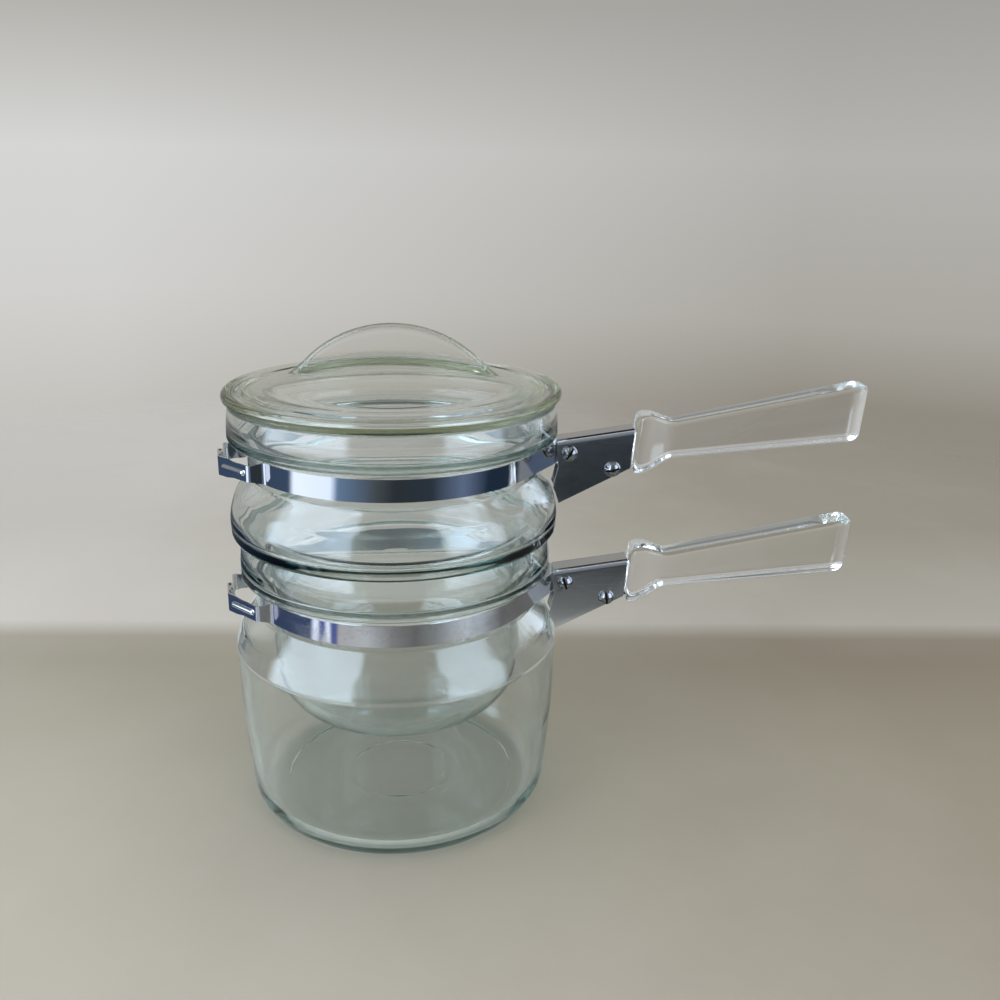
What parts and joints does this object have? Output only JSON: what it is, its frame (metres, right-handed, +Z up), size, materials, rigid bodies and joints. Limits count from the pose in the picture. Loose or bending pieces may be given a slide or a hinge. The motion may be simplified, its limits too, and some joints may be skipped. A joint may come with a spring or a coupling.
{
  "type": "double boiler",
  "caption": "Clear glass double boiler: deep pot, stepped insert pot hanging in its rim, domed lid with arched fin, steel bands and brackets, solid glass grips.",
  "frame": {"origin": "centre of the base on the floor plane, on the axis of the pots", "axes": "+Z up along the pot axis, +X along both grips, screw heads face -Y"},
  "size_m": [0.3023, 0.1586, 0.2393],
  "materials": {
    "lid_glass": "clear moulded glass, faint olive tint in the thick rim",
    "pot_glass": "clear moulded flameproof glass, faint grey-green in thickness",
    "grip_glass": "clear solid moulded glass",
    "band_steel": "polished stainless strip, fine brushing along the strip, water marks",
    "bracket_steel": "polished folded stainless sheet",
    "screw_steel": "bright turned steel"
  },
  "bodies": {
    "lower_pan": {"lower_pot_glass": "pot_glass", "lower_band_front": "band_steel", "lower_band_rear": "band_steel", "lower_bracket": "bracket_steel", "lower_clamp_screw": "screw_steel", "lower_clamp_nut": "screw_steel", "lower_grip_screw": "screw_steel", "lower_grip_nut": "screw_steel", "lower_grip_glass": "grip_glass"},
    "upper_pan": {"upper_insert_glass": "pot_glass", "upper_band_front": "band_steel", "upper_band_rear": "band_steel", "upper_bracket": "bracket_steel", "upper_clamp_screw": "screw_steel", "upper_clamp_nut": "screw_steel", "upper_grip_screw": "screw_steel", "upper_grip_nut": "screw_steel", "upper_grip_glass": "grip_glass"},
    "lid": {"lid_glass": "lid_glass"}
  },
  "joints": [
    {"name": "insert_lift", "type": "slide", "parent": "lower_pan", "child": "upper_pan", "axis": [0, 0, 1], "range_m": [0, 0.12]},
    {"name": "lid_lift", "type": "slide", "parent": "upper_pan", "child": "lid", "axis": [0, 0, 1], "range_m": [0, 0.06]}
  ]
}
